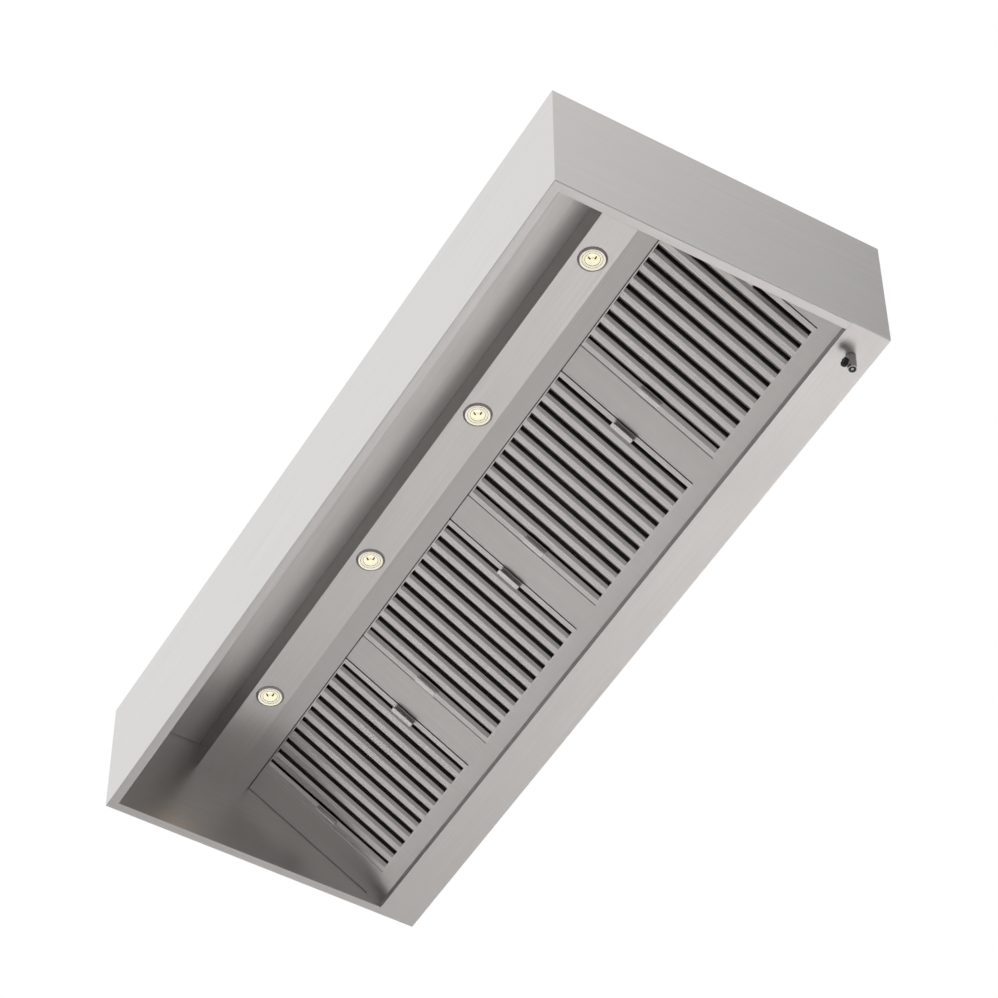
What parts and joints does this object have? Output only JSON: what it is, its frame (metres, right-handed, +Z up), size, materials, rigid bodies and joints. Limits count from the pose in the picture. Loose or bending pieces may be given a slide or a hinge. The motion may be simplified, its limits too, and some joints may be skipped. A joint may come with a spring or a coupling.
{
  "type": "commercial canopy hood",
  "caption": "Wall canopy hood in satin steel with a recessed light strip, sloping baffle filters with pull handles, a rear grease gutter and a drain cock.",
  "frame": {"origin": "middle of the wall face's bottom edge", "axes": "+X to the right seen from the front, +Y out of the back into the wall, +Z up"},
  "size_m": [2.5, 1, 0.5105],
  "materials": {
    "satin_steel": "brushed satin",
    "filter_steel": "satin sheet",
    "galvanised_steel": "galvanised, dull",
    "rivets": "satin",
    "lamp_trim": "satin white",
    "bulb_glass": "clear, lit warm white",
    "holder_plastic": "matte",
    "cable_sheath": "matte",
    "rubber_black": "matte",
    "box_plastic": "fine grain",
    "gland_plastic": "matte",
    "drain_steel": "turned",
    "knob_plastic": "moulded, satin gloss"
  },
  "bodies": {
    "hood": {"front_panel": "satin_steel", "right_end_panel": "satin_steel", "left_end_panel": "satin_steel", "rear_panel": "satin_steel", "roof_panel": "satin_steel", "gutter": "satin_steel", "gutter_lip": "satin_steel", "lower_rail": "satin_steel", "upper_rail": "satin_steel", "light_box": "satin_steel", "light_panel": "satin_steel", "blank_panel_1": "satin_steel", "blank_panel_2": "satin_steel", "blank_panel_3": "satin_steel", "blank_panel_4": "satin_steel", "blank_panel_5": "satin_steel", "lower_rail_brackets": "satin_steel", "hanging_brackets": "satin_steel", "exhaust_collar": "galvanised_steel", "collar_rivets": "rivets", "bracket_rivets": "rivets", "lamp_1_bezel": "lamp_trim", "lamp_1_bulb": "bulb_glass", "lamp_1_holder": "holder_plastic", "lamp_2_bezel": "lamp_trim", "lamp_2_bulb": "bulb_glass", "lamp_2_holder": "holder_plastic", "lamp_3_bezel": "lamp_trim", "lamp_3_bulb": "bulb_glass", "lamp_3_holder": "holder_plastic", "lamp_4_bezel": "lamp_trim", "lamp_4_bulb": "bulb_glass", "lamp_4_holder": "holder_plastic", "lamp_retainers": "lamp_trim", "lamp_cable": "cable_sheath", "roof_grommet": "rubber_black", "junction_box": "box_plastic", "junction_box_lid": "box_plastic", "cable_gland": "gland_plastic", "drain_body": "drain_steel", "drain_nut": "drain_steel", "drain_seal": "rubber_black"},
    "filter_1": {"filter_1_frame": "filter_steel", "filter_1_front_baffles": "filter_steel", "filter_1_rear_baffles": "filter_steel", "filter_1_handles": "filter_steel"},
    "filter_2": {"filter_2_frame": "filter_steel", "filter_2_front_baffles": "filter_steel", "filter_2_rear_baffles": "filter_steel", "filter_2_handles": "filter_steel"},
    "filter_3": {"filter_3_frame": "filter_steel", "filter_3_front_baffles": "filter_steel", "filter_3_rear_baffles": "filter_steel", "filter_3_handles": "filter_steel"},
    "filter_4": {"filter_4_frame": "filter_steel", "filter_4_front_baffles": "filter_steel", "filter_4_rear_baffles": "filter_steel", "filter_4_handles": "filter_steel"},
    "drain_valve": {"drain_knob": "knob_plastic", "drain_stem": "drain_steel"}
  },
  "joints": [
    {"name": "filter_1_lift", "type": "slide", "parent": "hood", "child": "filter_1", "axis": [0, -0.866, 0.5], "range_m": [0, 0.025]},
    {"name": "filter_2_lift", "type": "slide", "parent": "hood", "child": "filter_2", "axis": [0, -0.866, 0.5], "range_m": [0, 0.025]},
    {"name": "filter_3_lift", "type": "slide", "parent": "hood", "child": "filter_3", "axis": [0, -0.866, 0.5], "range_m": [0, 0.025]},
    {"name": "filter_4_lift", "type": "slide", "parent": "hood", "child": "filter_4", "axis": [0, -0.866, 0.5], "range_m": [0, 0.025]},
    {"name": "drain_valve_turn", "type": "hinge", "parent": "hood", "child": "drain_valve", "pos_m": [1.155, -0.06, -0.036], "axis": [0, -1, 0], "range_deg": [0, 90]}
  ]
}
